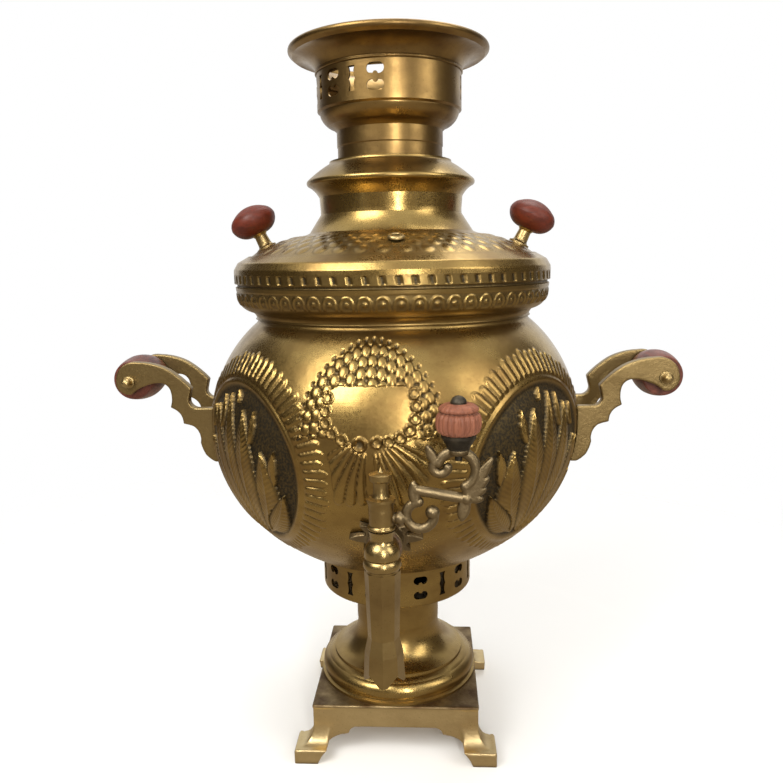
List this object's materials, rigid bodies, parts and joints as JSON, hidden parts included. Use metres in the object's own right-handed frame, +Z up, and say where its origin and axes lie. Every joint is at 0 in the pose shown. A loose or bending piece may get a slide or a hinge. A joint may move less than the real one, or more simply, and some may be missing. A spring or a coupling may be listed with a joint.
{
  "type": "samovar",
  "caption": "Charcoal samovar: round brass tank with a fire tube, lift-off lid and pierced crown for a teapot, turning tap key, side handles and footed base.",
  "frame": {"origin": "on the surface the samovar stands on, under the middle of its outer box, 17.5 mm in front of the tank axis", "axes": "+Z up along the tank axis, +X through the right carrying handle, -Y towards the tap"},
  "size_m": [0.402, 0.2925, 0.482],
  "materials": {
    "polished_brass": "polished, aged",
    "cast_brass": "sand cast, dull",
    "crown_brass": "aged, darker than the tank",
    "fire_iron": "sooty",
    "grip_wood": "varnished",
    "lid_knob_wood": "turned, varnished",
    "key_knob_wood": "turned, painted",
    "dark_metal": "blackened",
    "seal": "waxed",
    "steel": "bare"
  },
  "bodies": {
    "tank": {"base_plate": "cast_brass", "stand_screws": "steel", "stand": "polished_brass", "vent_ring": "polished_brass", "tank_pan": "polished_brass", "tank_bowl": "polished_brass", "tank_shoulder": "polished_brass", "tank_neck": "polished_brass", "collar_ring": "polished_brass", "fire_tube": "polished_brass", "tube_collar": "crown_brass", "fire_grate": "fire_iron", "tap_flange": "cast_brass", "tap_washer": "seal", "tap_body": "cast_brass", "handle_rivets": "cast_brass", "grip_right": "grip_wood", "grip_rod_right": "steel", "ball_nuts_right": "cast_brass", "bracket_right_front": "cast_brass", "bracket_right_rear": "cast_brass", "grip_left": "grip_wood", "grip_rod_left": "steel", "ball_nuts_left": "cast_brass", "bracket_left_front": "cast_brass", "bracket_left_rear": "cast_brass"},
    "lid": {"lid_dome": "polished_brass", "lid_shoulder": "polished_brass", "steam_vent": "cast_brass", "lid_stem_right": "cast_brass", "lid_knob_right": "lid_knob_wood", "lid_nut_right": "cast_brass", "lid_stem_left": "cast_brass", "lid_knob_left": "lid_knob_wood", "lid_nut_left": "cast_brass"},
    "crown": {"crown_socket": "crown_brass", "crown_gallery": "crown_brass", "crown_rim": "crown_brass"},
    "tap_key": {"tap_plug": "cast_brass", "key_lever": "cast_brass", "key_socket": "dark_metal", "key_knob": "key_knob_wood", "key_screw": "dark_metal"}
  },
  "joints": [
    {"name": "tap_key_turn", "type": "hinge", "parent": "tank", "child": "tap_key", "pos_m": [0, -0.1345, 0.19], "axis": [0, 0, 1], "range_deg": [-90, 0]},
    {"name": "lid_lift", "type": "slide", "parent": "tank", "child": "lid", "axis": [0, 0, 1], "range_m": [0, 0.11]},
    {"name": "crown_lift", "type": "slide", "parent": "lid", "child": "crown", "axis": [0, 0, 1], "range_m": [0, 0.04]}
  ]
}
